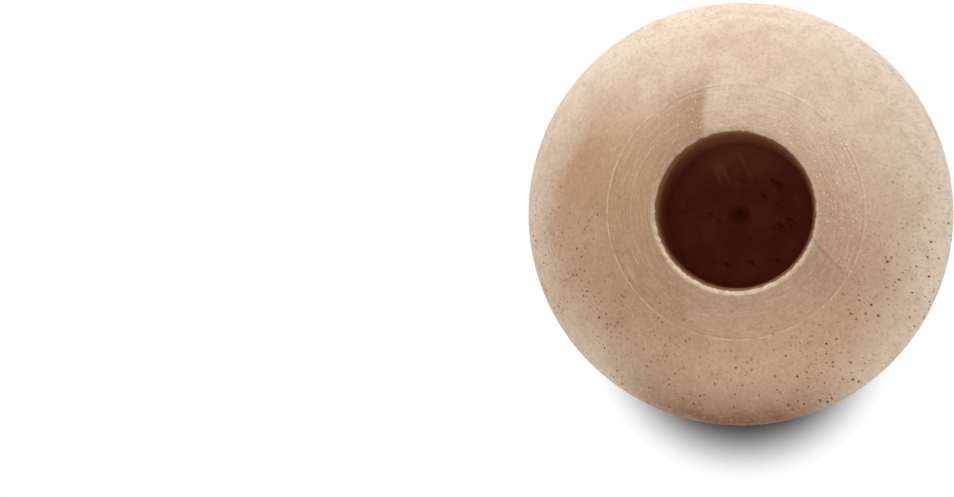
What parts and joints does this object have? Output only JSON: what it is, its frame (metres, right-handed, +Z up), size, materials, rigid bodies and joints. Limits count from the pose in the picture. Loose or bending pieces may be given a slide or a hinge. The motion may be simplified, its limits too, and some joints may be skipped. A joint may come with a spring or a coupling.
{
  "type": "wooden bead",
  "caption": "Turned wooden ball bead with a blind round bore drilled down its grain and a sanded mouth edge, pushed or glued onto the end of a dowel.",
  "frame": {"origin": "middle of the small flat at the ball's closed end, on the bore's axis, where the bead rests", "axes": "+Z up the bore's axis and out of its mouth; the bead is round about +Z, so X and Y are free"},
  "size_m": [0.038, 0.038, 0.0365],
  "materials": {
    "wood": "bare, turned and sanded"
  },
  "bodies": {
    "root": {"bead": "wood"}
  },
  "joints": []
}
